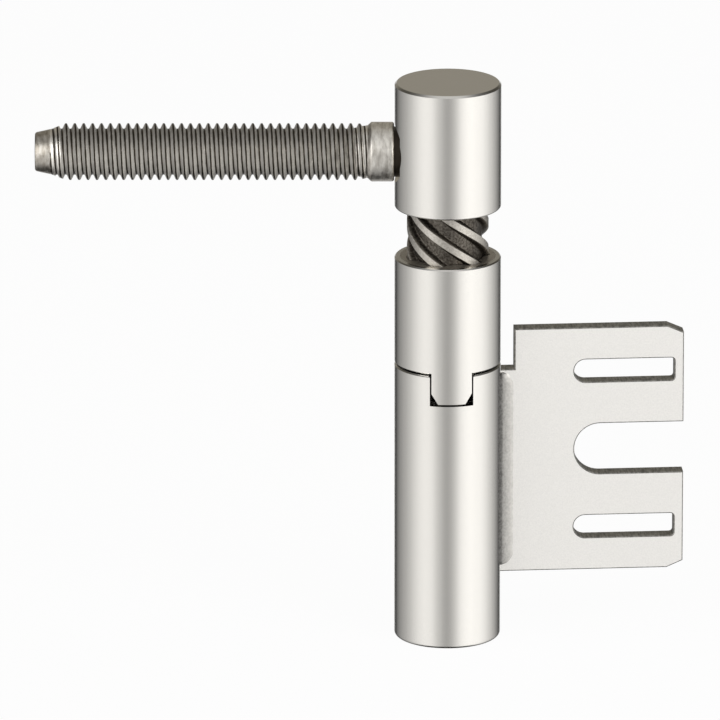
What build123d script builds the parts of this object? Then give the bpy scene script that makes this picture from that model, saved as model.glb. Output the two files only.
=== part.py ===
from build123d import *
import os
from math import cos, pi, radians, sin

# A rising lift-off hinge for a rebated door, in millimetres.
# The hinge axis is +Z and the frame plate points along +X.
# The origin is on the axis, in the bottom face of the frame barrel.

# Frame barrel: a turned steel tube with a closed bottom
barrel_diameter = 15.0
barrel_height = 40.2
barrel_floor = 3.0
barrel_foot_radius = 0.6
rim_chamfer = 0.18
barrel_wall = 2.0
counterbore_wall = 1.5

# Tongues of the guide sleeve and the notches in the barrel that hold them
tongue_width = 5.7
tongue_length = 4.05
tongue_lead_width = 0.92
tongue_lead_height = 1.5
notch_side_clearance = 0.22
notch_end_clearance = 0.3
notch_corner_radius = 0.3

# Guide sleeve, and the nut of the steep thread that is pressed into it
sleeve_length = 15.45
joint_gap = 0.25
sleeve_wall = 1.75
nut_seat_wall = 0.8
nut_thread_length = 6.0

# Steep thread, left-handed: the spindle rises when it turns clockwise, seen from above
thread_depth = 0.95
thread_starts = 6
thread_lead = 23.5
land_share = 0.3
flank_taper = 0.3
thread_clearance = 0.18
thread_phase = -92.6
thread_phase_height = 58.6
thread_overrun = 0.5

# How far the door half turns from the place shown, in degrees, as it climbs and as it sinks
turn_up = 60.0
turn_down = 105.0

# Plain pin below the thread, and the plastic bush that it turns in
bush_wall = 1.5
pin_floor_gap = 1.3
pin_end_chamfer = 0.8
pin_running_clearance = 0.06
bush_length = 20.0
bush_flange_thickness = 1.0
bush_flange_clearance = 0.1
bush_top_gap = 0.8
bush_mouth_chamfer = 0.5

# Door cap, shown raised above the sleeve by the cap gap
cap_height = 18.1
cap_gap = 7.2
cap_top_chamfer = 0.3
cap_foot_radius = 0.35
shank_shoulder = 0.75
shank_length = 14.6
shank_end_gap = 0.3
seat_clearance = 0.02

# Thrust washer, held between the thread's top shoulder and a recess in the cap
washer_edge = 0.9
washer_thickness = 0.75
washer_recess_depth = 0.75
washer_play = 0.1
washer_radial_play = 0.15

# Door stud: it screws into the door, and its spigot locks the spindle in the cap
stud_height_in_cap = 8.0
stud_heading = 175.5
stud_reach = 58.0
stud_thread_diameter = 8.0
stud_tip_diameter = 5.45
stud_tip_shoulder_diameter = 6.4
stud_tip_length = 2.3
stud_run_in = 2.0
stud_run_out_length = 1.6
stud_run_out_diameter = 7.3
stud_groove_spacing = 2.5
stud_groove_diameter = 6.5
stud_crest_width = 0.5
collar_diameter = 8.4
collar_length = 3.5
collar_chamfer = 0.4
collar_back_radius = 0.7
spot_face_depth = 0.75
spot_face_diameter = 8.6
neck_diameter = 7.2
spigot_diameter = 6.0
spigot_end_depth = 1.3
spigot_end_gap = 0.2

# Frame plate: a blanked steel plate that stands in the middle of the barrel
plate_thickness = 2.5
plate_reach = 33.4
plate_bottom = 9.45
plate_height = 35.75
plate_edge_chamfer = 0.15
horn_clearance = 1.9
horn_root_drop = 0.9
horn_root_radius = 0.6
corner_cut_length = 2.3
corner_cut_height = 1.0

# Two fixing slots and the open clamp slot between them
slot_pitch = 23.0
slot_width = 3.3
slot_start = 17.85
slot_end_wall = 1.3
slot_end_radius = 0.5
clamp_slot_width = 7.4
clamp_slot_start = 17.9
clamp_mouth_radius = 0.5

# Weld seams along both faces of the plate
weld_leg = 1.8
weld_rise = 1.5
weld_bite = 0.45
weld_end_setback = 0.5

# How near a corner has to be to a place to be picked there
pick_tolerance = 0.01

# Places worked out from the sizes above
barrel_radius = barrel_diameter / 2
bush_bore_diameter = barrel_diameter - 2 * barrel_wall
pin_diameter = bush_bore_diameter - 2 * bush_wall
counterbore_diameter = barrel_diameter - 2 * counterbore_wall
thread_diameter = barrel_diameter - 2 * sleeve_wall
nut_diameter = barrel_diameter - 2 * nut_seat_wall
shank_diameter = thread_diameter - 2 * shank_shoulder
washer_diameter = barrel_diameter - 2 * washer_edge
sleeve_bottom = barrel_height + joint_gap
sleeve_top = sleeve_bottom + sleeve_length
cap_bottom = sleeve_top + cap_gap
rise_above = thread_lead * turn_up / 360
fall_below = thread_lead * turn_down / 360
tongue_bottom = barrel_height - tongue_length
notch_floor = tongue_bottom - notch_end_clearance

washer_top = cap_bottom + washer_recess_depth - washer_play
washer_bottom = washer_top - washer_thickness
thread_top = washer_bottom - washer_play
thread_bottom = sleeve_top - nut_thread_length - rise_above - thread_overrun
pin_bottom = barrel_floor + pin_floor_gap + fall_below
thread_lowest = thread_bottom - fall_below
counterbore_floor = min(thread_lowest - bush_flange_thickness, notch_floor) - bush_top_gap
shank_top = cap_bottom + shank_length
pin_radius = pin_diameter / 2
shank_radius = shank_diameter / 2

stud_height = cap_bottom + stud_height_in_cap
stud_direction = Vector(cos(radians(stud_heading)), sin(radians(stud_heading)), 0)
stud_plane = Plane(
    origin=(0, 0, stud_height),
    x_dir=stud_direction,
    z_dir=stud_direction.cross(Vector(0, 0, 1)),
)
stud_axis = Axis((0, 0, stud_height), stud_direction)
spot_face_distance = barrel_radius - spot_face_depth
spigot_end = shank_radius + spigot_end_depth
neck_start = shank_radius + seat_clearance

plate_top = plate_bottom + plate_height
plate_middle = plate_bottom + plate_height / 2
horn_start = barrel_radius + horn_clearance
horn_root = barrel_height - horn_root_drop
slot_length = plate_reach - slot_end_wall - slot_start


def across(distance):
    """The plane that looks out from the stud's root, at a distance along the stud."""
    return Plane(origin=stud_plane.origin + stud_direction * distance, z_dir=stud_direction)


def thread_section(height, clearance):
    """The cross-section of the steep thread at a height, with its faces moved out by clearance."""
    core_radius = thread_diameter / 2 - thread_depth + clearance
    land_radius = thread_diameter / 2 + clearance
    half_land = land_share * pi * thread_diameter / thread_starts / 2 + clearance
    inside = core_radius / 2
    outside = land_radius + thread_depth
    turned = thread_phase - 360 * (height - thread_phase_height) / thread_lead
    inner_half = half_land + flank_taper * (land_radius - inside)
    outer_half = half_land + flank_taper * (land_radius - outside)
    with BuildSketch(Plane.XY.offset(height)) as section:
        Circle(core_radius)
        with PolarLocations(0, thread_starts, start_angle=turned):
            Polygon(
                (inside, -inner_half),
                (outside, -outer_half),
                (outside, outer_half),
                (inside, inner_half),
                align=None,
            )
        Circle(land_radius, mode=Mode.INTERSECT)
    return section.sketch


def steep_thread(bottom, top, clearance, mode):
    """Sweep the thread's section up the axis while a left-hand helix turns it."""
    with BuildLine() as climb:
        Line((0, 0, bottom), (0, 0, top))
    turn = Helix(
        pitch=thread_lead,
        height=top - bottom,
        radius=thread_diameter,
        center=(0, 0, bottom),
        lefthand=True,
        mode=Mode.PRIVATE,
    )
    sweep(sections=thread_section(bottom, clearance), path=climb.wires()[0], binormal=turn, mode=mode)


# Frame barrel
with BuildPart() as frame_barrel:
    Cylinder(barrel_radius, barrel_height, align=(Align.CENTER, Align.CENTER, Align.MIN))
    fillet(frame_barrel.faces().sort_by(Axis.Z)[0].edges(), barrel_foot_radius)
    chamfer(frame_barrel.faces().sort_by(Axis.Z)[-1].edges(), rim_chamfer)
    with Locations((0, 0, barrel_height)):
        CounterBoreHole(
            radius=bush_bore_diameter / 2,
            counter_bore_radius=counterbore_diameter / 2,
            counter_bore_depth=barrel_height - counterbore_floor,
            depth=barrel_height - barrel_floor,
        )
    notch_half = tongue_width / 2 + notch_side_clearance
    with BuildSketch(Plane.XZ):
        with BuildLine():
            side = Polyline(
                (0, notch_floor),
                (notch_half, notch_floor),
                (notch_half, barrel_height - notch_corner_radius),
            )
            mouth = TangentArc(
                side @ 1,
                (notch_half + notch_corner_radius, barrel_height),
                tangent=(0, 1),
            )
            Polyline(mouth @ 1, (mouth @ 1) + (0, joint_gap), (0, barrel_height + joint_gap))
            mirror(about=Plane.YZ)
        make_face()
    extrude(amount=barrel_diameter, both=True, mode=Mode.SUBTRACT)
frame_barrel.part.label = "frame_barrel"

# Plastic bush: a flanged tube pressed into the barrel
bush_bore_radius = pin_radius + pin_running_clearance
with BuildPart() as pin_bush:
    with BuildSketch(Plane.XY.offset(counterbore_floor)):
        Circle(bush_bore_diameter / 2)
    extrude(amount=-bush_length)
    with BuildSketch(Plane.XY.offset(counterbore_floor)):
        Circle(counterbore_diameter / 2 - bush_flange_clearance)
    extrude(amount=bush_flange_thickness)
    with Locations((0, 0, counterbore_floor + bush_flange_thickness)):
        Hole(bush_bore_radius)
    chamfer(pin_bush.faces().sort_by(Axis.Z)[-1].edges().sort_by(SortBy.RADIUS)[0], bush_mouth_chamfer)
pin_bush.part.label = "pin_bush"

# Guide sleeve: two tongues below a ring, with a seat for the nut at its top
nut_thread_bottom = sleeve_top - nut_thread_length
with BuildPart() as guide_sleeve:
    with BuildSketch(Plane.XZ):
        with BuildLine():
            Polyline(
                (-tongue_width / 2, sleeve_bottom + rim_chamfer),
                (-tongue_width / 2, tongue_bottom + tongue_lead_height),
                (-tongue_width / 2 + tongue_lead_width, tongue_bottom),
                (tongue_width / 2 - tongue_lead_width, tongue_bottom),
                (tongue_width / 2, tongue_bottom + tongue_lead_height),
                (tongue_width / 2, sleeve_bottom + rim_chamfer),
                close=True,
            )
        make_face()
    extrude(amount=barrel_diameter, both=True)
    Cylinder(
        barrel_radius,
        sleeve_top,
        align=(Align.CENTER, Align.CENTER, Align.MIN),
        mode=Mode.INTERSECT,
    )
    with BuildSketch(Plane.XZ):
        with BuildLine():
            Polyline(
                (0, sleeve_bottom),
                (barrel_radius - rim_chamfer, sleeve_bottom),
                (barrel_radius, sleeve_bottom + rim_chamfer),
                (barrel_radius, sleeve_top - rim_chamfer),
                (barrel_radius - rim_chamfer, sleeve_top),
                (0, sleeve_top),
                close=True,
            )
        make_face()
    revolve(axis=Axis.Z)
    with BuildSketch(Plane.XY.offset(tongue_bottom)):
        Circle(counterbore_diameter / 2)
    extrude(amount=nut_thread_bottom - tongue_bottom, mode=Mode.SUBTRACT)
    with BuildSketch(Plane.XY.offset(nut_thread_bottom)):
        Circle(nut_diameter / 2 + seat_clearance)
    extrude(amount=nut_thread_length, mode=Mode.SUBTRACT)
guide_sleeve.part.label = "guide_sleeve"

# Lift nut: a ring with the steep thread cut through it
with BuildPart() as lift_nut:
    with BuildSketch(Plane.XY.offset(nut_thread_bottom)):
        Circle(nut_diameter / 2)
    extrude(amount=nut_thread_length)
    steep_thread(nut_thread_bottom, sleeve_top, thread_clearance, Mode.SUBTRACT)
lift_nut.part.label = "lift_nut"

# Spindle: pin, steep thread and the shank that the cap is pressed onto
with BuildPart() as lift_spindle:
    steep_thread(thread_bottom, thread_top, 0, Mode.ADD)
    with BuildSketch(Plane.XY.offset(thread_bottom)):
        Circle(pin_radius)
    extrude(amount=pin_bottom - thread_bottom)
    chamfer(lift_spindle.faces().sort_by(Axis.Z)[0].edges(), pin_end_chamfer)
    with BuildSketch(Plane.XY.offset(thread_top)):
        Circle(shank_radius)
    extrude(amount=shank_top - shank_end_gap - thread_top)
    with BuildSketch(across(0)):
        Circle(spigot_diameter / 2 + seat_clearance)
    extrude(amount=cap_height, both=True, mode=Mode.SUBTRACT)
lift_spindle.part.label = "lift_spindle"

# Thrust washer
with BuildPart() as thrust_washer:
    with BuildSketch(Plane.XY.offset(washer_bottom)):
        Circle(washer_diameter / 2)
        Circle(shank_radius + washer_radial_play, mode=Mode.SUBTRACT)
    extrude(amount=washer_thickness)
thrust_washer.part.label = "thrust_washer"

# Door cap: turned, with a blind bore for the shank and a cross bore for the stud
with BuildPart() as door_cap:
    with BuildSketch(Plane.XY.offset(cap_bottom)):
        Circle(barrel_radius)
    extrude(amount=cap_height)
    chamfer(door_cap.faces().sort_by(Axis.Z)[-1].edges(), cap_top_chamfer)
    fillet(door_cap.faces().sort_by(Axis.Z)[0].edges(), cap_foot_radius)
    with BuildSketch(Plane.XY.offset(cap_bottom)):
        Circle(washer_diameter / 2 + washer_radial_play)
    extrude(amount=washer_recess_depth, mode=Mode.SUBTRACT)
    with BuildSketch(Plane.XY.offset(cap_bottom)):
        Circle(shank_radius + seat_clearance)
    extrude(amount=shank_length, mode=Mode.SUBTRACT)
    with BuildSketch(across(spot_face_distance)):
        Circle(spot_face_diameter / 2)
    extrude(amount=barrel_radius, mode=Mode.SUBTRACT)
    with BuildSketch(across(0)):
        Circle(neck_diameter / 2 + seat_clearance)
    extrude(amount=barrel_radius, mode=Mode.SUBTRACT)
    with BuildSketch(across(0)):
        Circle(spigot_diameter / 2 + seat_clearance)
    extrude(amount=-(spigot_end + spigot_end_gap), mode=Mode.SUBTRACT)
door_cap.part.label = "door_cap"

# Door stud: one turned piece, drawn as half its outline along the stud plane.
# Round grooves stand for its thread, each as wide as two turns.
thread_start = barrel_radius + collar_length + stud_run_out_length
thread_end = stud_reach - stud_tip_length - stud_run_in
groove_room = thread_end - thread_start - stud_crest_width
groove_count = round(groove_room / stud_groove_spacing)
groove_pitch = groove_room / groove_count
grooved_outline = [(thread_start, stud_thread_diameter / 2)]
for groove in range(groove_count):
    crest_end = thread_start + stud_crest_width + groove * groove_pitch
    groove_middle = crest_end + (groove_pitch - stud_crest_width) / 2
    next_crest = crest_end + groove_pitch - stud_crest_width
    grooved_outline += [
        (crest_end, stud_thread_diameter / 2),
        (groove_middle, stud_groove_diameter / 2),
        (next_crest, stud_thread_diameter / 2),
    ]
with BuildPart() as door_stud:
    with BuildSketch(stud_plane):
        with BuildLine():
            root = Polyline(
                (-spigot_end, 0),
                (-spigot_end, spigot_diameter / 2),
                (neck_start, spigot_diameter / 2),
                (neck_start, neck_diameter / 2),
                (barrel_radius, neck_diameter / 2),
                (barrel_radius, collar_diameter / 2 - collar_back_radius),
            )
            shoulder = TangentArc(
                root @ 1,
                (barrel_radius + collar_back_radius, collar_diameter / 2),
                tangent=(0, 1),
            )
            Polyline(
                shoulder @ 1,
                (barrel_radius + collar_length - collar_chamfer, collar_diameter / 2),
                (barrel_radius + collar_length, collar_diameter / 2 - collar_chamfer),
                (barrel_radius + collar_length, stud_run_out_diameter / 2),
                *grooved_outline,
                (thread_end, stud_thread_diameter / 2),
                (stud_reach - stud_tip_length, stud_tip_shoulder_diameter / 2),
                (stud_reach, stud_tip_diameter / 2),
                (stud_reach, 0),
                (-spigot_end, 0),
            )
        make_face()
    revolve(axis=stud_axis)
door_stud.part.label = "door_stud"

# Frame plate: a blank with two slots, an open slot and a horn beside the sleeve
with BuildPart() as frame_plate:
    with BuildSketch(Plane.XZ.offset(plate_thickness / 2)) as outline:
        with BuildLine():
            Polyline(
                (0, plate_bottom),
                (plate_reach - corner_cut_length, plate_bottom),
                (plate_reach, plate_bottom + corner_cut_height),
                (plate_reach, plate_top - corner_cut_height),
                (plate_reach - corner_cut_length, plate_top),
                (horn_start, plate_top),
                (horn_start, horn_root),
                (0, horn_root),
                close=True,
            )
        make_face()
        with Locations((slot_start + slot_width / 2, plate_middle)):
            with GridLocations(0, slot_pitch, 1, 2):
                Circle(slot_width / 2, mode=Mode.SUBTRACT)
                Rectangle(
                    slot_length - slot_width / 2,
                    slot_width,
                    align=(Align.MIN, Align.CENTER),
                    mode=Mode.SUBTRACT,
                )
        with Locations((clamp_slot_start + clamp_slot_width / 2, plate_middle)):
            Circle(clamp_slot_width / 2, mode=Mode.SUBTRACT)
            Rectangle(
                plate_reach,
                clamp_slot_width,
                align=(Align.MIN, Align.CENTER),
                mode=Mode.SUBTRACT,
            )
        corners = outline.vertices()
        fillet(corners.sort_by_distance((horn_start, -plate_thickness / 2, horn_root))[0], horn_root_radius)
        slot_end = slot_start + slot_length
        slot_corners = outline.vertices().filter_by(
            lambda corner: abs(corner.X - slot_end) < pick_tolerance
        )
        fillet(slot_corners, slot_end_radius)
        mouth_corners = outline.vertices().filter_by(
            lambda corner: corner.X > plate_reach - pick_tolerance
            and abs(corner.Z - plate_middle) < clamp_slot_width / 2 + pick_tolerance
        )
        fillet(mouth_corners, clamp_mouth_radius)
    extrude(amount=-plate_thickness)
    chamfer(frame_plate.faces().filter_by(Axis.Y).edges(), plate_edge_chamfer)
    with BuildSketch(Plane.XY):
        Circle(barrel_radius)
    extrude(amount=barrel_height, mode=Mode.SUBTRACT)
frame_plate.part.label = "frame_plate"

# Weld seams: one bead in the corner on each side of the plate
with BuildPart() as weld_seams:
    with BuildSketch(Plane.XY.offset(plate_bottom + weld_end_setback)) as bead:
        toe = plate_thickness / 2
        Polygon(
            (0, -toe),
            (barrel_radius + weld_leg, -toe),
            (barrel_radius - weld_bite, -toe - weld_rise),
            (0, -toe - weld_rise),
            align=None,
        )
        mirror(about=Plane.XZ)
        Circle(barrel_radius, mode=Mode.SUBTRACT)
    extrude(amount=horn_root - plate_bottom - 2 * weld_end_setback)
weld_seams.part.label = "weld_seams"

pieces = (
    frame_barrel,
    frame_plate,
    weld_seams,
    pin_bush,
    guide_sleeve,
    lift_nut,
    thrust_washer,
    lift_spindle,
    door_cap,
    door_stud,
)
os.makedirs("parts", exist_ok=True)
for piece in pieces:
    export_step(piece.part, f"parts/{piece.part.label}.step")
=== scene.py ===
"""The looks of a rising lift-off hinge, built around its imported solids."""

from math import cos, pi, radians, sin
import bpy
import numpy as np
from bpy.props import FloatProperty, FloatVectorProperty, IntProperty, PointerProperty
from mathutils import Matrix, Vector


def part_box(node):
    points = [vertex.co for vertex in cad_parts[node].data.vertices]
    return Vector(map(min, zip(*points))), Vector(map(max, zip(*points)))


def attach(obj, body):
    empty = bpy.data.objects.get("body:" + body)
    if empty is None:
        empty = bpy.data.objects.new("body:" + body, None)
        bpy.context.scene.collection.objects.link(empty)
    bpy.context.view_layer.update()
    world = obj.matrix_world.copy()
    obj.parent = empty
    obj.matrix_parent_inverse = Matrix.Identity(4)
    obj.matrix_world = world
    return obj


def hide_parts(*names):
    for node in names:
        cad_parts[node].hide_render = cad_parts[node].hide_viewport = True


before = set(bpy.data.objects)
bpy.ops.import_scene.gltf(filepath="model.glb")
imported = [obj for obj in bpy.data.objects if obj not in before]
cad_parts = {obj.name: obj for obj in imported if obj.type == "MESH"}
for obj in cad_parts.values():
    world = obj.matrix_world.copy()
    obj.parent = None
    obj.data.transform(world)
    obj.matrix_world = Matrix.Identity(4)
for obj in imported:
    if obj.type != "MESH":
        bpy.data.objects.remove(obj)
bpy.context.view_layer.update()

bl_info = {
    "name": "Drill-in hinge",
    "version": (1, 0, 0),
    "blender": (4, 5, 0),
    "location": "3D View > Sidebar > Hinge",
    "description": "Builds the pieces, finishes and studio of a rising lift-off hinge",
    "category": "Object",
}

MM = 0.001

# Radii of the turned parts and of the sleeve's bore, in millimetres
TURNED_RADIUS = 7.5
SLEEVE_BORE_RADIUS = 6.0

# In millimetres: points closer than MERGE are the same point, and a point within ON_CYLINDER of a
# radius lies on that cylinder
MERGE = 0.0005
ON_CYLINDER = 0.004

# A face whose normal has more than this along an axis looks along that axis
FACING = 0.9


def linear(code):
    """A colour written as an sRGB hex code, turned to linear light."""
    values = [int(code[place : place + 2], 16) / 255 for place in (0, 2, 4)]
    return tuple(v / 12.92 if v <= 0.04045 else ((v + 0.055) / 1.055) ** 2.4 for v in values)


def colour(name, description, code):
    """A colour setting with its sRGB hex default."""
    return FloatVectorProperty(
        name=name, description=description, default=linear(code), subtype="COLOR", min=0, max=1
    )


def length(name, description, default):
    """A length setting in metres, with its default written in millimetres."""
    return FloatProperty(
        name=name, description=description, default=default * MM, unit="LENGTH", precision=5
    )


def angle(name, description, default):
    """An angle setting, with its default written in degrees."""
    return FloatProperty(name=name, description=description, default=radians(default), subtype="ANGLE")


class HingeSizes(bpy.types.PropertyGroup):
    """Sizes of the surfaces that are worked out here and not in the solids."""

    stud_heading: angle("Stud heading", "Direction of the stud around the hinge axis", 175.5)
    stud_height: length("Stud height", "Height of the stud's axis", 71.1)
    stud_pitch: length("Stud pitch", "Distance between the crests of the stud's thread", 1.25)
    stud_crest: length("Stud crest diameter", "Outside diameter of the stud's thread", 8.0)
    stud_root: length("Stud root diameter", "Diameter at the bottom of the stud's thread", 6.47)
    stud_crest_place: length(
        "Stud crest place", "Distance of one crest on the upper side from the axis", 29.86
    )
    steep_outside: length("Steep thread diameter", "Diameter over the lands of the steep thread", 11.5)
    steep_core: length(
        "Steep thread core", "Diameter at the bottom of the steep thread's grooves", 9.6
    )
    steep_lead: length("Steep thread lead", "Climb of the steep thread in one turn", 23.5)
    steep_phase: angle("Steep thread phase", "Direction of one land at the phase height", -92.6)
    steep_phase_height: length("Phase height", "Height at which the phase is given", 58.6)
    steep_starts: IntProperty(name="Steep thread starts", description="Number of lands", default=6)
    weld_leg: length("Weld leg", "Width of the weld bead on the plate", 1.8)
    weld_rise: length("Weld rise", "Height of the weld bead on the barrel", 1.5)


class HingeColours(bpy.types.PropertyGroup):
    """Colours of the finishes, as the eye sees them under plain light."""

    plating: colour("Satin plating", "Turned and plated steel", "EFECE6")
    sheet: colour("Sheet plating", "Matt plating on the blanked plate", "FDFBF7")
    sheared: colour("Sheared edge", "Torn steel on the plate's edges, under thin plating", "ABA9A3")
    bead: colour("Weld bead", "Plating over the weld", "E9E6E0")
    steel: colour("Bare steel", "Oiled bare steel", "A8A196")
    # The bright and dark ends of bare steel: rubbed wear with painted highlight, and oil with painted
    # shade
    rubbed: colour("Rubbed steel", "Crests and lands rubbed bright", "F3EFE7")
    oil_and_painted_shade: colour("Oil and shade", "Dark oil film in the grooves", "38322B")
    acetal: colour("Acetal", "Moulded black plastic", "1B1B1C")
    floor: colour("Floor", "Pale studio floor", "F4F4F3")


class HingeStudio(bpy.types.PropertyGroup):
    """Where the camera stands and how bright the studio is."""

    camera_distance: length("Camera distance", "From the lens to the object", 2000.0)
    camera_azimuth: angle("Camera azimuth", "Turn of the camera around the object", -4.5)
    camera_elevation: angle("Camera elevation", "Height of the camera over the horizon", 16.8)
    view_width: length("View width", "Width of the picture at the hinge axis", 101.6)
    aim_height: length("Aim height", "Height of the point in the middle of the picture", 40.516)
    aim_left: length("Aim offset", "How far that point is left of the hinge axis", 12.35)
    lamp_power: FloatProperty(
        name="Lamp power", description="Power of each soft lamp", default=3.2, unit="POWER"
    )


def add_node(tree, kind, settings=None, inputs=None):
    """Adds one node. Inputs are values, or sockets to link from. Settings go to its properties, but
    stops go to its colour ramp, as pairs of a place and a grey value or a colour."""
    node = tree.nodes.new(kind)
    for key, value in (settings or {}).items():
        if key == "stops":
            elements = node.color_ramp.elements
            while len(elements) < len(value):
                elements.new(0.5)
            for element, (place, tone) in zip(elements, value):
                element.position = place
                element.color = (*tone, 1) if isinstance(tone, tuple) else (tone, tone, tone, 1)
        else:
            setattr(node, key, value)
    for key, value in (inputs or {}).items():
        if isinstance(value, bpy.types.NodeSocket):
            tree.links.new(value, node.inputs[key])
        else:
            node.inputs[key].default_value = value
    return node


def new_material(name):
    """An empty material and its node tree."""
    material = bpy.data.materials.new(name)
    material.use_nodes = True
    material.node_tree.nodes.clear()
    return material, material.node_tree


def surface(tree, inputs):
    """Ends a material with one surface that has these inputs."""
    shader = add_node(tree, "ShaderNodeBsdfPrincipled", inputs=inputs)
    add_node(tree, "ShaderNodeOutputMaterial", inputs={"Surface": shader.outputs[0]})


def specks(tree, size, scale=(1, 1, 1), detail=2.0, roughness=0.55):
    """Noise in the piece's own space: specks of one size in millimetres, drawn out along the axes
    whose scale is small."""
    place = add_node(tree, "ShaderNodeTexCoord").outputs["Object"]
    scaled = add_node(tree, "ShaderNodeMapping", inputs={"Vector": place, "Scale": scale}).outputs[0]
    inputs = {"Vector": scaled, "Scale": 1 / (size * MM), "Detail": detail, "Roughness": roughness}
    return add_node(tree, "ShaderNodeTexNoise", inputs=inputs).outputs["Fac"]


def shaded(value, share):
    """A colour with its light cut to a share."""
    return tuple(channel * share for channel in value)


def satin_plating(colours):
    """Turned steel with nickel-coloured zinc plating: satin, with fine marks that run around it.

    An attribute on the faces tells how far an end face takes the darker, grained colour: painted shade
    where the ends lie in the joints and under the parts above, and only grain on the cap's open top.
    """
    material, tree = new_material("satin_plated_turned_steel")
    base = tuple(colours.plating)
    marks = specks(tree, 0.16, (1 / 60, 1 / 60, 1), roughness=0.6)
    fine, coarse = specks(tree, 0.12), specks(tree, 0.22)
    stops = [(0.3, shaded(base, 0.96)), (0.7, base)]
    outside = add_node(tree, "ShaderNodeValToRGB", {"stops": stops}, {"Fac": coarse}).outputs[0]
    # The darker grained colour: painted shade on end faces in the joints, and grain on the cap's top
    stops = [(0.35, shaded(base, 0.35)), (0.65, shaded(base, 0.75))]
    grained_and_shaded = add_node(tree, "ShaderNodeValToRGB", {"stops": stops}, {"Fac": fine}).outputs[0]
    faced = add_node(tree, "ShaderNodeAttribute", {"attribute_name": "faced"}).outputs["Fac"]
    inputs = {"Factor": faced, 6: outside, 7: grained_and_shaded}
    skin = add_node(tree, "ShaderNodeMix", {"data_type": "RGBA"}, inputs).outputs[2]
    stops = [(0.25, 0.19), (0.75, 0.23)]
    rough = add_node(tree, "ShaderNodeValToRGB", {"stops": stops}, {"Fac": marks}).outputs[0]
    inputs = {"Height": marks, "Distance": 0.001 * MM, "Strength": 0.4}
    bump = add_node(tree, "ShaderNodeBump", inputs=inputs).outputs[0]
    surface(tree, {"Base Color": skin, "Metallic": 1.0, "Roughness": rough, "Normal": bump})
    return material


def sheet_plating(colours):
    """Blanked sheet steel with zinc plating: matt and pale, with a fine speckle.

    Its edges were torn in the blanking tool, so they are darker and rough, with streaks across
    the sheet. The attribute sheared tells them from the faces.
    """
    material, tree = new_material("matt_plated_sheet_steel")
    face, torn = tuple(colours.sheet), tuple(colours.sheared)
    edge = add_node(tree, "ShaderNodeAttribute", {"attribute_name": "sheared"}).outputs["Fac"]
    fine, streaks = specks(tree, 0.2), specks(tree, 0.3, (1, 0.2, 1), 3.0, 0.6)
    stops = [(0.3, shaded(face, 0.94)), (0.7, face)]
    face_skin = add_node(tree, "ShaderNodeValToRGB", {"stops": stops}, {"Fac": fine}).outputs[0]
    stops = [(0.35, shaded(torn, 0.45)), (0.65, torn)]
    edge_skin = add_node(tree, "ShaderNodeValToRGB", {"stops": stops}, {"Fac": streaks}).outputs[0]
    inputs = {"Factor": edge, 6: face_skin, 7: edge_skin}
    skin = add_node(tree, "ShaderNodeMix", {"data_type": "RGBA"}, inputs).outputs[2]
    stops = [(0.0, 0.62), (1.0, 0.5)]
    rough = add_node(tree, "ShaderNodeValToRGB", {"stops": stops}, {"Fac": edge}).outputs[0]
    inputs = {0: edge, 2: fine, 3: streaks}
    height = add_node(tree, "ShaderNodeMix", {"data_type": "FLOAT"}, inputs).outputs[0]
    inputs = {"Value": edge, "To Min": 0.3, "To Max": 1.0}
    strength = add_node(tree, "ShaderNodeMapRange", inputs=inputs).outputs[0]
    inputs = {"Height": height, "Distance": 0.03 * MM, "Strength": strength}
    bump = add_node(tree, "ShaderNodeBump", inputs=inputs).outputs[0]
    surface(tree, {"Base Color": skin, "Metallic": 1.0, "Roughness": rough, "Normal": bump})
    return material


def weld_plating(colours):
    """A machine-laid weld bead under the plating: smooth, with painted shade along its edge in the
    corner between bead and barrel.
    """
    material, tree = new_material("plated_weld_bead")
    base = tuple(colours.bead)
    root = add_node(tree, "ShaderNodeAttribute", {"attribute_name": "rubbed"}).outputs["Fac"]
    fine = specks(tree, 0.35)
    stops = [(0.3, shaded(base, 0.9)), (0.7, base)]
    unshaded_bead = add_node(tree, "ShaderNodeValToRGB", {"stops": stops}, {"Fac": fine}).outputs[0]
    # Painted shade for the bead's corner at the barrel
    stops = [(0.3, shaded(base, 0.15)), (0.7, shaded(base, 0.35))]
    painted_shade_colour = add_node(tree, "ShaderNodeValToRGB", {"stops": stops}, {"Fac": fine}).outputs[0]
    inputs = {"Factor": root, 6: painted_shade_colour, 7: unshaded_bead}
    skin = add_node(tree, "ShaderNodeMix", {"data_type": "RGBA"}, inputs).outputs[2]
    inputs = {"Height": fine, "Distance": 0.02 * MM, "Strength": 0.25}
    bump = add_node(tree, "ShaderNodeBump", inputs=inputs).outputs[0]
    surface(tree, {"Base Color": skin, "Metallic": 1.0, "Roughness": 0.5, "Normal": bump})
    return material


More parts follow.
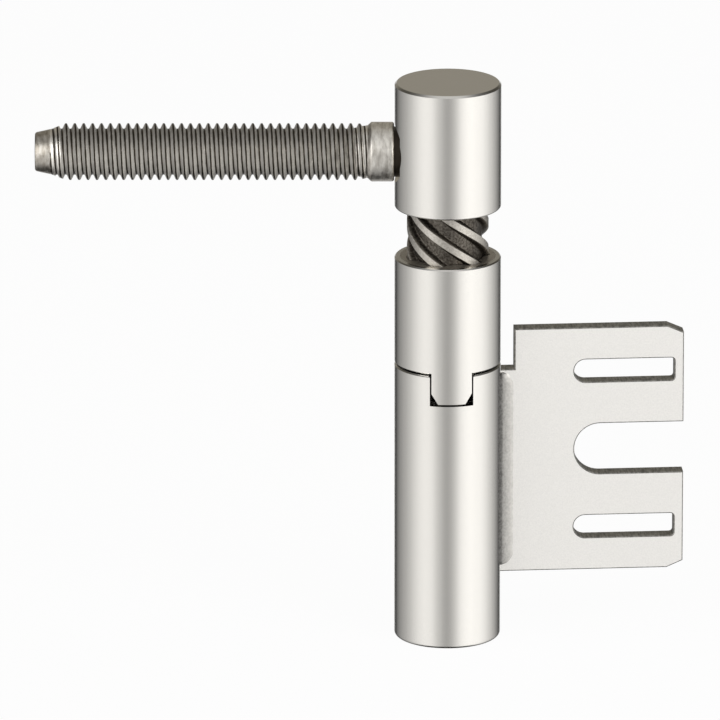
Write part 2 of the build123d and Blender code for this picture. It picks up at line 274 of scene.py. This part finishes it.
def bare_steel(colours, name, size, scale, contrast, roughness, metal):
    """Bare steel with an oil film. A value on each point lays on wear and painted light: a bright
    colour for rubbed wear and painted highlights, and a dark one for oil and painted shade in the
    grooves.

    The specks' size is in millimetres, and the scale draws them out along the marks of the tool.
    The share of metal is below one where scratches and oil scatter part of the light.
    """
    material, tree = new_material(name)
    painted_light_and_wear = add_node(tree, "ShaderNodeAttribute", {"attribute_name": "rubbed"}).outputs["Fac"]
    fine = specks(tree, size, scale, 3.0, 0.6)
    inputs = {0: painted_light_and_wear, 1: contrast / 2}
    offset = add_node(tree, "ShaderNodeMath", {"operation": "SUBTRACT"}, inputs).outputs[0]
    settings = {"operation": "MULTIPLY_ADD", "use_clamp": True}
    mixed = add_node(tree, "ShaderNodeMath", settings, {0: fine, 1: contrast, 2: offset}).outputs[0]
    # Dark end: oil and painted shade; bright end: rubbed wear and painted highlight
    stops = [(0.0, tuple(colours.oil_and_painted_shade)), (0.35, tuple(colours.steel)), (0.85, tuple(colours.rubbed))]
    skin = add_node(tree, "ShaderNodeValToRGB", {"stops": stops}, {"Fac": mixed}).outputs[0]
    stops = [(0.3, roughness - 0.08), (0.7, roughness + 0.08)]
    rough = add_node(tree, "ShaderNodeValToRGB", {"stops": stops}, {"Fac": fine}).outputs[0]
    inputs = {"Height": fine, "Distance": 0.03 * MM, "Strength": 0.6}
    bump = add_node(tree, "ShaderNodeBump", inputs=inputs).outputs[0]
    surface(tree, {"Base Color": skin, "Metallic": metal, "Roughness": rough, "Normal": bump})
    return material


def acetal(colours):
    """Moulded acetal: black, with a dull sheen and a faint mould grain."""
    material, tree = new_material("moulded_acetal")
    base = tuple(colours.acetal)
    fine = specks(tree, 0.4)
    stops = [(0.0, shaded(base, 0.8)), (1.0, base)]
    skin = add_node(tree, "ShaderNodeValToRGB", {"stops": stops}, {"Fac": fine}).outputs[0]
    stops = [(0.3, 0.38), (0.7, 0.5)]
    rough = add_node(tree, "ShaderNodeValToRGB", {"stops": stops}, {"Fac": fine}).outputs[0]
    surface(tree, {"Base Color": skin, "Roughness": rough, "IOR": 1.48})
    return material


def mark(piece, name, domain, values):
    """Stores one number for each point or face, under a name that the piece's material reads."""
    layer = piece.data.attributes.new(name, "FLOAT", domain)
    layer.data.foreach_set("value", np.ascontiguousarray(values, np.float32))


def gathered(items, name, kind=float, width=3):
    """One property of all the items as an array, with a row for each item."""
    values = np.zeros(len(items) * width, kind)
    items.foreach_get(name, values)
    return values.reshape(-1, width)


def put_mesh(name, points, faces, sharp=30, light_and_wear=None):
    """Makes an object from points in metres and triangles. Equal points become one and collapsed
    triangles are dropped. Edges over the sharp angle in degrees stay sharp. Where the last argument
    is given, each point keeps that number for its material, as wear and painted light."""
    keys = np.round(points / (MERGE * MM)).astype(np.int64)
    _, first, place = np.unique(keys, axis=0, return_index=True, return_inverse=True)
    faces = place.reshape(-1)[faces]
    faces = faces[(faces != np.roll(faces, 1, axis=1)).all(axis=1)]
    mesh = bpy.data.meshes.new(name)
    mesh.from_pydata(points[first].tolist(), [], faces.tolist())
    mesh.shade_smooth()
    mesh.set_sharp_from_angle(angle=radians(sharp))
    mesh.update()
    piece = bpy.data.objects.new(name, mesh)
    bpy.context.scene.collection.objects.link(piece)
    if light_and_wear is not None:
        mark(piece, "rubbed", "POINT", light_and_wear[first])
    return piece


def copied(node, name):
    """A copy of a solid's mesh with its loose triangles joined, so that it can be shaded smoothly."""
    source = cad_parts[node].data
    source.calc_loop_triangles()
    faces = gathered(source.loop_triangles, "vertices", np.int32)
    return put_mesh(name, gathered(source.vertices, "co"), faces)


def round_shading(piece, radii):
    """Turns the normals of faces on a cylinder around the hinge axis straight away from that axis,
    or to it where the side of a radius is negative."""
    mesh = piece.data
    points = gathered(mesh.vertices, "co") / MM
    corners = gathered(mesh.loops, "vertex_index", np.int32, 1)[:, 0]
    normals = gathered(mesh.corner_normals, "vector")
    away = np.hypot(points[:, 0], points[:, 1])
    for radius, side in radii:
        on = (np.abs(away - radius) < ON_CYLINDER)[corners].reshape(-1, 3).all(axis=1)
        chosen = np.repeat(on, 3)
        spot = points[corners[chosen]]
        normals[chosen] = spot * (side, side, 0) / away[corners[chosen]][:, None]
    mesh.normals_split_custom_set(normals.tolist())


def grid_faces(rows, columns, joined=None):
    """Triangles of a grid of rows by columns. Its last column meets its first in the same row, or
    in the row that joined gives."""
    row, column = np.meshgrid(np.arange(rows - 1), np.arange(columns), indexing="ij")
    after = (column + 1) % columns
    joined = np.arange(rows) if joined is None else joined
    near = np.where(after < column, joined[row], row)
    far = np.where(after < column, joined[row + 1], row + 1)
    a, b = row * columns + column, near * columns + after
    c, d = far * columns + after, (row + 1) * columns + column
    lower, upper = np.stack([a, b, c], -1), np.stack([a, c, d], -1)
    return np.concatenate([lower.reshape(-1, 3), upper.reshape(-1, 3)])


def finish_piece(piece, material, body, slot, *nodes):
    """Gives a piece its finish and its body, and hides the solids it stands for. The slot is not used.
    """
    piece.data.materials.clear()
    piece.data.materials.append(material)
    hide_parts(*nodes)
    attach(piece, body)


class HINGE_OT_turned_parts(bpy.types.Operator):
    """Finishes the frame barrel, the guide sleeve and the door cap"""

    bl_idname = "hinge.turned_parts"
    bl_label = "Turned parts"

    def execute(self, context):
        finish = satin_plating(context.scene.hinge_colours)
        # The last number is how much of the darker grained colour the end faces take: painted shade on
        # the barrel's and sleeve's ends, which lie in joints and under the parts above, and a little
        # grain on the cap's top
        for node, body, radii, grain_and_shade in (
            ("frame_barrel", "frame_half", [(TURNED_RADIUS, 1)], 1.0),
            ("guide_sleeve", "sleeve_body", [(TURNED_RADIUS, 1), (SLEEVE_BORE_RADIUS, -1)], 0.7),
            ("door_cap", "door_half", [(TURNED_RADIUS, 1)], 0.12),
        ):
            piece = copied(node, "turned_" + node.split("_")[1])
            round_shading(piece, radii)
            ends = np.abs(gathered(piece.data.polygons, "normal")[:, 2]) > FACING
            mark(piece, "faced", "FACE", np.where(ends, grain_and_shade, 0))
            finish_piece(piece, finish, body, "plated_steel", node)
        return {"FINISHED"}


class HINGE_OT_plate(bpy.types.Operator):
    """Finishes the blanked frame plate"""

    bl_idname = "hinge.plate"
    bl_label = "Frame plate"

    def execute(self, context):
        piece = copied("frame_plate", "blanked_plate")
        mark(piece, "sheared", "FACE", np.abs(gathered(piece.data.polygons, "normal")[:, 1]) < FACING)
        piece.visible_glossy = False  # the real barrel mirrors only the studio beside it
        finish = sheet_plating(context.scene.hinge_colours)
        finish_piece(piece, finish, "frame_half", "plate_steel", "frame_plate")
        return {"FINISHED"}


class HINGE_OT_plastic_parts(bpy.types.Operator):
    """Finishes the bush and the thrust washer"""

    bl_idname = "hinge.plastic_parts"
    bl_label = "Plastic parts"

    def execute(self, context):
        finish = acetal(context.scene.hinge_colours)
        for node, body in (("pin_bush", "frame_half"), ("thrust_washer", "washer_body")):
            piece = copied(node, "moulded_" + node.split("_")[1])
            finish_piece(piece, finish, body, "bearing_plastic", node)
        return {"FINISHED"}


def stud_surface(sizes):
    """The stud's surface, and the painted light of each point.

    Lengths are in millimetres up to the last line. A point at distance s along the stud and angle t
    around it has the radius of the turned outline, or in the threaded stretch that of a thread,
    held between a floor and the outline: the root radius plus the thread's depth times a rounded
    wave of the phase, which is s less t's share of a pitch. The flanks get a painted highlight, and
    each crest and each root a painted dark line for the shade that the thread casts on itself.
    The rows of the threaded stretch follow that helix, so crests and roots lie on edges, and
    after one turn each row meets the row that is one pitch further.
    """
    pitch, crest, root = (v / MM for v in (sizes.stud_pitch, sizes.stud_crest / 2, sizes.stud_root / 2))
    columns = 72
    turn = np.linspace(0, 2 * pi, columns, endpoint=False)
    start, start_radius = 11.3, 3.7  # where the thread leaves the collar's foot
    end, end_radius = 55.7, 3.2  # where it runs into the tip's cone
    outline_s = [start, 12.6, 53.7, end]
    outline_r = [start_radius, crest, crest, end_radius]
    floor_s = [start, 12.1, 13.6, end]
    floor_r = [start_radius, 3.6, root, root]
    half = np.array([0, 0.07, 0.11, 0.15, 0.2, 0.25, 0.3, 0.35, 0.4, 0.45])
    phases = np.concatenate([half, [0.5], 1 - half[:0:-1]])
    turns = np.arange(int(start / pitch) - 3, int(end / pitch) + 3)
    line = (turns[:, None] + phases[None, :]).reshape(-1)
    phase = np.tile(phases, len(turns))
    first = (sizes.stud_crest_place / MM) % pitch
    s = line[:, None] * pitch + first + pitch * turn[None, :] / (2 * pi)
    s = np.clip(s, start, end)
    away = np.abs((phase + 0.5) % 1 - 0.5) * 2
    wave = np.clip((0.9 - away) / 0.8, 0, 1)
    flank = 1 - np.abs(2 * wave - 1) ** 2.5
    wave = wave * wave * (3 - 2 * wave)
    thread = root + (crest - root) * wave[:, None]
    radius = np.maximum(thread, np.interp(s, floor_s, floor_r))
    radius = np.minimum(radius, np.interp(s, outline_s, outline_r))
    # Painted highlight on the flanks, and painted shade on the crests and roots
    light_and_wear = -0.45 + 1.7 * flank
    light_and_wear = np.broadcast_to(light_and_wear[:, None], radius.shape)

    # The plain outlines at both ends, as places along the stud and radii: the spigot in the shank,
    # the dark neck, the collar with its rounded corner, and the tip with its cone
    spigot, neck, collar, collar_start, corner = 3.0, 3.55, 4.2, 7.55, 0.35
    back = [(-6.3, 0), (-6.3, 2.8), (-6.1, spigot), (5.02, spigot), (5.02, neck), (collar_start, neck)]
    back.append((collar_start, collar - corner))
    for bend in np.radians(np.linspace(0, 90, 7)):
        back.append((collar_start + corner * (1 - cos(bend)), collar - corner * (1 - sin(bend))))
    back += [(10.7, collar), (10.82, 4.15), (11.0, 3.97), (start, start_radius)]
    front = [(end, end_radius), (55.9, 3.16), (57.75, 2.76), (57.92, 2.66), (58.0, 2.5), (58.0, 0)]
    ring_s = np.array([p[0] for p in back] + [p[0] for p in front])
    ring_r = np.array([p[1] for p in back] + [p[1] for p in front])
    cut = len(back)
    ones = np.ones(columns)
    s = np.concatenate([ring_s[:cut, None] * ones, s, ring_s[cut:, None] * ones])
    radius = np.concatenate([ring_r[:cut, None] * ones, radius, ring_r[cut:, None] * ones])
    # The neck gets painted shade, as in a shadowed gap, and the collar a painted highlight between its
    # corner and its foot
    places, values = (7.6, 7.65, 7.9, 8.1, 10.5, 10.8), (-0.3, 0.3, 0.7, 0.95, 0.95, 0.6)
    plain = np.interp(ring_s[:cut], places, values)[:, None] * ones
    light_and_wear = np.concatenate([plain, light_and_wear, np.full((len(front), columns), 0.45)])
    along = np.array([cos(sizes.stud_heading), sin(sizes.stud_heading), 0])
    up = np.array([0, 0, 1.0])
    side = np.cross(along, up)
    points = (
        s[..., None] * along
        + (radius * np.cos(turn))[..., None] * up
        + (radius * np.sin(turn))[..., None] * side
        + up * sizes.stud_height / MM
    )
    joined = np.arange(len(s))
    threaded = slice(cut, cut + len(line))
    joined[threaded] = np.minimum(joined[threaded] + len(phases), joined[threaded][-1])
    return points.reshape(-1, 3) * MM, grid_faces(len(s), columns, joined), light_and_wear.reshape(-1)


class HINGE_OT_stud(bpy.types.Operator):
    """Builds the threaded door stud"""

    bl_idname = "hinge.stud"
    bl_label = "Door stud"

    def execute(self, context):
        scene = context.scene
        points, faces, light_and_wear = stud_surface(scene.hinge_sizes)
        piece = put_mesh("threaded_stud", points, faces, light_and_wear=light_and_wear)
        colours = scene.hinge_colours
        finish = bare_steel(colours, "oiled_rolled_steel", 0.45, (1, 0.35, 0.35), 1.0, 0.4, 0.95)
        piece.visible_glossy = False  # as for the plate, the real cap doesn't mirror it
        finish_piece(piece, finish, "door_half", "bare_steel", "door_stud")
        return {"FINISHED"}


def steep_section(sizes):
    """Angles in degrees, radii, and values of wear and painted light around one cross-section of the
    steep thread.

    Around each land the radius is the land's, falls along a straight flank to the core's,
    and is eased at both corners by a smooth minimum and a smooth maximum. Lands are rubbed
    bright, and the grooves are oiled and darkened further with painted shade, with a faint painted
    highlight in the middle of each groove.
    """
    outside, core = sizes.steep_outside / 2 / MM, sizes.steep_core / 2 / MM
    sector = 360 / sizes.steep_starts
    half_land, half_foot = 9.0, 14.3  # degrees from a land's middle to its corner and to its foot
    land_round, foot_round = 0.12, 0.5
    land = [0, 3, 6, 7.5, 8.4, half_land]
    fall = [9.6, 10.3, 11.1, 12, 13, 13.8, 14.6, 15.5, 16.7]
    groove = [18, 20, 23, 26.5, sector / 2]
    local = np.array(land + fall + groove)
    around = np.unique(np.concatenate([-local[:-1], local]))
    flank = outside - (outside - core) * (np.abs(around) - half_land) / (half_foot - half_land)

    def eased(a, b, k):
        """The smaller of two values, with its corner rounded over a width of k."""
        gap = np.clip(0.5 + 0.5 * (b - a) / k, 0, 1)
        return b + (a - b) * gap - k * gap * (1 - gap)

    low = -eased(np.full_like(flank, -core), -flank, foot_round)
    radius = eased(np.full_like(flank, outside), low, land_round)
    share = np.clip((radius - core) / (outside - core), 0, 1)
    # Rubbed lands, painted shade in the grooves, and a faint painted highlight in each groove's middle
    light_and_wear = 0.56 * share**3 + 0.1 * np.clip(1 - 3 * share, 0, 1) - 0.03
    turns = np.arange(sizes.steep_starts)[:, None] * sector
    return (
        (turns + around[None, :]).reshape(-1),
        np.tile(radius, sizes.steep_starts),
        np.tile(light_and_wear, sizes.steep_starts),
    )


def spindle_surface(sizes):
    """The spindle's surface: the steep thread's cross-section, turned left-handed as it climbs,
    between a plain pin below and a plain shank above, whose outlines are turned around the axis."""
    degrees, radius, light_and_wear = steep_section(sizes)
    bottom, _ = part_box("lift_spindle")
    end = bottom.z / MM
    thread_bottom, thread_top, shank_top = 45.483, 62.9, 68.0
    pin_radius, chamfer, shank_radius, run_in = 4.0, 0.8, 5.0, 0.5
    heights = np.linspace(thread_bottom, thread_top, 121)
    climbed = heights * MM - sizes.steep_phase_height
    turned = sizes.steep_phase - 2 * pi * climbed / sizes.steep_lead
    angles = turned[:, None] + np.radians(degrees)[None, :]
    ends = np.clip((heights - thread_bottom) / run_in, 0, 1)[:, None]
    floor = sizes.steep_core / 2 / MM - 0.35  # the thread grows out of this radius at its lower end
    grown = floor + (radius[None, :] - floor) * (0.4 + 0.6 * ends)
    columns = len(degrees)
    tip = [(end, 0), (end, pin_radius - chamfer), (end + chamfer, pin_radius)]
    low = np.array(tip + [(thread_bottom, pin_radius)])
    high = np.array([(thread_top, shank_radius), (shank_top, shank_radius), (shank_top, 0)])
    ones = np.ones(columns)
    r = np.concatenate([low[:, 1:] * ones, grown, high[:, 1:] * ones])
    z = np.concatenate([low[:, :1] * ones, heights[:, None] * ones, high[:, :1] * ones])
    before, after = np.repeat(angles[:1], len(low), 0), np.repeat(angles[-1:], len(high), 0)
    a = np.concatenate([before, angles, after])
    light_and_wear = np.broadcast_to(light_and_wear, grown.shape)
    light_and_wear = np.concatenate([np.full((len(low), columns), 0.7), light_and_wear, np.full((len(high), columns), 0.4)])
    points = np.stack([r * np.cos(a), r * np.sin(a), z], -1).reshape(-1, 3)
    return points * MM, grid_faces(len(r), columns), light_and_wear.reshape(-1)


class HINGE_OT_spindle(bpy.types.Operator):
    """Builds the spindle with its steep thread, and finishes the nut around it"""

    bl_idname = "hinge.spindle"
    bl_label = "Lifting spindle"

    def execute(self, context):
        scene = context.scene
        points, faces, light_and_wear = spindle_surface(scene.hinge_sizes)
        piece = put_mesh("threaded_spindle", points, faces, light_and_wear=light_and_wear)
        colours = scene.hinge_colours
        finish = bare_steel(colours, "oiled_machined_steel", 0.3, (1, 1, 1), 0.5, 0.38, 0.85)
        finish_piece(piece, finish, "door_half", "spindle_steel", "lift_spindle")
        nut = copied("lift_nut", "steep_nut")
        mark(nut, "rubbed", "POINT", np.full(len(nut.data.vertices), 0.35))
        finish_piece(nut, finish, "sleeve_body", "spindle_steel", "lift_nut")
        return {"FINISHED"}


def bead_surface(sizes, side):
    """One weld bead: a hollow curve from the barrel's toe to the plate's toe, carried up the seam.

    The curve is a parabola between the toes, drawn towards the corner. Its width swells and
    shrinks with a sum of sines of the height, and fades over the last part at both ends.
    The value for the material is low beside the barrel: painted shade in the corner between the bead
    and the barrel, fading out across the bead. One more point in each row closes the bead inside the
    steel.
    """
    rows, across = 160, 13
    low, high, run_out = 10.5, 38.9, 1.4
    toe = 1.25  # half the plate's thickness
    barrel_face, corner_x, corner_y = 7.4, 7.75, toe + 0.22
    inside_x, inside_y = 7.2, toe - 0.1
    z = np.linspace(low, high, rows)
    ripple = 0.5 * np.sin(z * 2.3) + 0.3 * np.sin(z * 5.1 + 1.0) + 0.2 * np.sin(z * 9.7 + 2.0)
    fade = np.clip(np.minimum(z - low, high - z) / run_out, 0, 1) ** 0.5
    leg = (sizes.weld_leg / MM + 0.05 * ripple) * (0.25 + 0.75 * fade)
    rise = (sizes.weld_rise / MM + 0.04 * ripple) * (0.25 + 0.75 * fade)
    t = np.linspace(0, 1, across)
    on_barrel_y = toe + rise
    on_barrel_x = np.sqrt(TURNED_RADIUS**2 - on_barrel_y**2)
    on_plate_x = barrel_face + leg
    first, middle, last = (1 - t) ** 2, 2 * t * (1 - t), t**2
    x = np.outer(on_barrel_x, first) + corner_x * middle + np.outer(on_plate_x, last)
    y = np.outer(on_barrel_y, first) + corner_y * middle + toe * last
    x = np.concatenate([x, np.full((rows, 1), inside_x)], 1)
    y = np.concatenate([y, np.full((rows, 1), inside_y)], 1)
    height = np.broadcast_to(z[:, None], x.shape)
    points = np.stack([x, side * y, height], -1).reshape(-1, 3)
    faces = grid_faces(rows, across + 1)
    fans = []
    for row, order in ((0, 1), (rows - 1, -1)):
        ring = row * (across + 1) + np.arange(across + 1)
        fans.append(np.stack([np.full(across - 1, ring[-1]), ring[1:-1], ring[:-2]], -1)[:, ::order])
    faces = np.concatenate([faces] + fans)
    # Painted shade: dark at the barrel's toe, growing lighter across the bead
    light_and_wear = np.interp(np.append(t, 1.0), (0, 0.32, 0.4, 0.6, 0.8, 1), (0, 0, 0.3, 0.38, 0.52, 0.85))
    return points * MM, faces if side > 0 else faces[:, ::-1], np.tile(light_and_wear, rows)


class HINGE_OT_welds(bpy.types.Operator):
    """Builds the two weld beads beside the plate"""

    bl_idname = "hinge.welds"
    bl_label = "Weld beads"

    def execute(self, context):
        scene = context.scene
        front, rear = (bead_surface(scene.hinge_sizes, side) for side in (-1, 1))
        points = np.concatenate([front[0], rear[0]])
        faces = np.concatenate([front[1], rear[1] + len(front[0])])
        light_and_wear = np.concatenate([front[2], rear[2]])
        piece = put_mesh("weld_beads", points, faces, sharp=40, light_and_wear=light_and_wear)
        piece.visible_glossy = False  # as for the plate
        finish = weld_plating(scene.hinge_colours)
        finish_piece(piece, finish, "frame_half", "weld_steel", "weld_seams")
        return {"FINISHED"}


# What the metal mirrors around the object: degrees from the camera's side, and brightness
ROOM = (
    (-180, 0.8), (-168, 0.7), (-158, 0.05), (-151, 0.03), (-137, 0.2), (-125, 0.32), (-106, 0.45),
    (-90, 0.6), (-76, 0.79), (-62, 0.94), (-50, 1.0), (-38, 0.98), (-16, 0.62), (-8, 0.46), (0, 0.4),
    (9, 0.5), (18, 0.7), (28, 1.0), (40, 1.13), (52, 1.19), (65, 1.14), (78, 1.12), (90, 0.96),
    (106, 0.72), (122, 0.48), (137, 0.26), (151, 0.05), (158, 0.05), (168, 0.7), (180, 0.8),
)


def looking(target, azimuth, elevation, distance):
    """The matrix of a camera or lamp that looks at the target from this side, height and distance."""
    back = Vector((sin(azimuth) * cos(elevation), -cos(azimuth) * cos(elevation), sin(elevation)))
    turned = back.to_track_quat("Z", "Y").to_matrix().to_4x4()
    return Matrix.Translation(target + back * distance) @ turned


class HINGE_OT_studio(bpy.types.Operator):
    """Sets the floor, the soft light and the camera"""

    bl_idname = "hinge.studio"
    bl_label = "Studio"

    def execute(self, context):
        scene = context.scene
        studio = scene.hinge_studio
        self.world(scene, studio)
        self.floor(scene, scene.hinge_colours)
        self.camera(scene, studio)
        for name, turn, share in (("lamp_left", -50, 0.9), ("lamp_right", 48, 1.1)):
            self.lamp(scene, name, radians(turn) + studio.camera_azimuth, studio.lamp_power * share)
        scene.view_settings.view_transform = "Standard"
        return {"FINISHED"}

    def camera(self, scene, studio):
        """The photo's camera, which looks at a point beside the hinge axis."""
        azimuth = studio.camera_azimuth
        right = Vector((cos(azimuth), sin(azimuth), 0))
        aim = Vector((0, 0, studio.aim_height)) - right * studio.aim_left
        data = bpy.data.cameras.new("camera")
        data.sensor_width = 36.0
        data.lens = data.sensor_width * studio.camera_distance / studio.view_width
        data.clip_start, data.clip_end = 0.01, 50.0
        camera = bpy.data.objects.new("camera", data)
        camera.matrix_world = looking(aim, azimuth, studio.camera_elevation, studio.camera_distance)
        scene.collection.objects.link(camera)
        scene.camera = camera

    def lamp(self, scene, name, turn, power):
        """A soft lamp, which hangs on one side of the hinge and looks at its middle."""
        width, height, distance, lift = 0.5, 0.7, 0.9, radians(20)
        middle = Vector((0, 0, 0.04))
        data = bpy.data.lights.new(name, "AREA")
        data.shape, data.size, data.size_y, data.energy = "RECTANGLE", width, height, power
        lamp = bpy.data.objects.new(name, data)
        lamp.matrix_world = looking(middle, turn, lift, distance)
        scene.collection.objects.link(lamp)

    def world(self, scene, studio):
        """The light from all around. Beside the object it has the brightness of the room, above the
        horizon it is grey and warmer behind the object, and straight below it is dark."""
        world = bpy.data.worlds.new("soft_studio")
        world.use_nodes = True
        tree = world.node_tree
        tree.nodes.clear()
        ray = add_node(tree, "ShaderNodeTexCoord").outputs["Generated"]
        parts = add_node(tree, "ShaderNodeSeparateXYZ", inputs={"Vector": ray}).outputs
        smooth = {"interpolation_type": "SMOOTHSTEP"}
        product = {"data_type": "RGBA", "blend_type": "MULTIPLY"}

        # The direction around the object as a share of a turn, with the camera's side in the middle
        inputs = {0: parts["Y"], 1: -1.0}
        front = add_node(tree, "ShaderNodeMath", {"operation": "MULTIPLY"}, inputs).outputs[0]
        inputs = {0: parts["X"], 1: front}
        turn = add_node(tree, "ShaderNodeMath", {"operation": "ARCTAN2"}, inputs).outputs[0]
        inputs = {0: turn, 1: 1 / (2 * pi), 2: 0.5 - studio.camera_azimuth / (2 * pi)}
        share = add_node(tree, "ShaderNodeMath", {"operation": "MULTIPLY_ADD"}, inputs).outputs[0]
        share = add_node(tree, "ShaderNodeMath", {"operation": "FRACT"}, {0: share}).outputs[0]
        stops = [(0.5 + degrees / 360, value) for degrees, value in ROOM]
        room = add_node(tree, "ShaderNodeValToRGB", {"stops": stops}, {"Fac": share})
        room.color_ramp.interpolation = "EASE"

        # The part above the horizon, darker to both sides
        inputs = {"Value": parts["Y"], "From Min": -0.1, "From Max": 0.5}
        behind = add_node(tree, "ShaderNodeMapRange", smooth, inputs).outputs[0]
        stops = [(0.0, 0.62), (1.0, (0.289, 0.27, 0.229))]
        upper = add_node(tree, "ShaderNodeValToRGB", {"stops": stops}, {"Fac": behind}).outputs[0]
        inputs = {0: parts["X"]}
        sideways = add_node(tree, "ShaderNodeMath", {"operation": "ABSOLUTE"}, inputs).outputs[0]
        inputs = {"Value": sideways, "From Min": 0.25, "From Max": 0.7, "To Min": 1.0, "To Max": 0.2}
        beside = add_node(tree, "ShaderNodeMapRange", smooth, inputs).outputs[0]
        inputs = {"Factor": 1.0, 6: upper, 7: beside}
        upper = add_node(tree, "ShaderNodeMix", product, inputs).outputs[2]

        inputs = {"Value": parts["Z"], "From Min": -0.1, "From Max": 0.22}
        above = add_node(tree, "ShaderNodeMapRange", smooth, inputs).outputs[0]
        inputs = {"Factor": above, 6: room.outputs[0], 7: upper}
        sky = add_node(tree, "ShaderNodeMix", {"data_type": "RGBA"}, inputs).outputs[2]
        inputs = {"Value": parts["Z"], "From Min": -0.93, "From Max": -0.72, "To Min": 0.05}
        below = add_node(tree, "ShaderNodeMapRange", smooth, inputs).outputs[0]
        inputs = {"Factor": 1.0, 6: sky, 7: below}
        level = add_node(tree, "ShaderNodeMix", product, inputs).outputs[2]
        light = add_node(tree, "ShaderNodeBackground", inputs={"Color": level, "Strength": 1.0})
        add_node(tree, "ShaderNodeOutputWorld", inputs={"Surface": light.outputs[0]})
        scene.world = world

    def floor(self, scene, colours):
        """A round floor and, far behind it, a ring of backdrop, of paper that glows where it is seen.
        Glossy rays pass both, because the metal mirrors the room of the world."""
        material, tree = new_material("pale_studio_paper")
        path = add_node(tree, "ShaderNodeLightPath").outputs
        inputs = {0: path["Is Camera Ray"], 1: path["Is Glossy Ray"]}
        seen = add_node(tree, "ShaderNodeMath", {"operation": "ADD"}, inputs).outputs[0]
        inputs = {0: seen, 1: path["Is Transmission Ray"]}
        seen = add_node(tree, "ShaderNodeMath", {"operation": "ADD"}, inputs).outputs[0]
        paper = add_node(tree, "ShaderNodeBsdfDiffuse", inputs={"Color": (*colours.floor, 1)})
        inputs = {"Color": (1, 1, 1, 1), "Strength": seen}
        glow = add_node(tree, "ShaderNodeEmission", inputs=inputs)
        inputs = {0: 0.96, 1: paper.outputs[0], 2: glow.outputs[0]}
        mix = add_node(tree, "ShaderNodeMixShader", inputs=inputs)
        add_node(tree, "ShaderNodeOutputMaterial", inputs={"Surface": mix.outputs[0]})
        reach, sides = 4.0, 96  # metres to the backdrop, and sides of its ring
        turn = np.linspace(0, 2 * pi, sides, endpoint=False)
        rim = np.stack([reach * np.cos(turn), reach * np.sin(turn), np.zeros(sides)], -1)
        ring = np.concatenate([rim, rim + (0, 0, reach)])
        for name, points, faces in (
            ("studio_floor", rim, [list(range(sides))]),
            ("studio_backdrop", ring, grid_faces(2, sides)[:, ::-1].tolist()),
        ):
            mesh = bpy.data.meshes.new(name)
            mesh.from_pydata(points.tolist(), [], faces)
            mesh.materials.append(material)
            item = bpy.data.objects.new(name, mesh)
            item.visible_glossy = False
            item.visible_diffuse = name == "studio_floor"
            item.visible_shadow = name == "studio_floor"
            scene.collection.objects.link(item)


class HINGE_PT_panel(bpy.types.Panel):
    """Lists the hinge's pieces and settings"""

    bl_idname = "HINGE_PT_panel"
    bl_label = "Hinge"
    bl_space_type = "VIEW_3D"
    bl_region_type = "UI"
    bl_category = "Hinge"

    def draw(self, context):
        for operator in OPERATORS:
            self.layout.operator(operator.bl_idname)
        for group in SETTINGS:
            settings = getattr(context.scene, group)
            box = self.layout.box()
            for name in settings.bl_rna.properties.keys():
                if name not in ("rna_type", "name"):
                    box.prop(settings, name)


SETTINGS = {"hinge_sizes": HingeSizes, "hinge_colours": HingeColours, "hinge_studio": HingeStudio}
OPERATORS = (
    HINGE_OT_studio,
    HINGE_OT_turned_parts,
    HINGE_OT_plate,
    HINGE_OT_plastic_parts,
    HINGE_OT_stud,
    HINGE_OT_spindle,
    HINGE_OT_welds,
)


def register():
    for item in (*SETTINGS.values(), *OPERATORS, HINGE_PT_panel):
        bpy.utils.register_class(item)
    for name, group in SETTINGS.items():
        setattr(bpy.types.Scene, name, PointerProperty(type=group))


def unregister():
    for name in SETTINGS:
        delattr(bpy.types.Scene, name)
    for item in (HINGE_PT_panel, *reversed(OPERATORS), *SETTINGS.values()):
        bpy.utils.unregister_class(item)


def main():
    register()
    for operator in OPERATORS:
        group, name = operator.bl_idname.split(".")
        getattr(getattr(bpy.ops, group), name)()


if __name__ == "__main__":
    main()
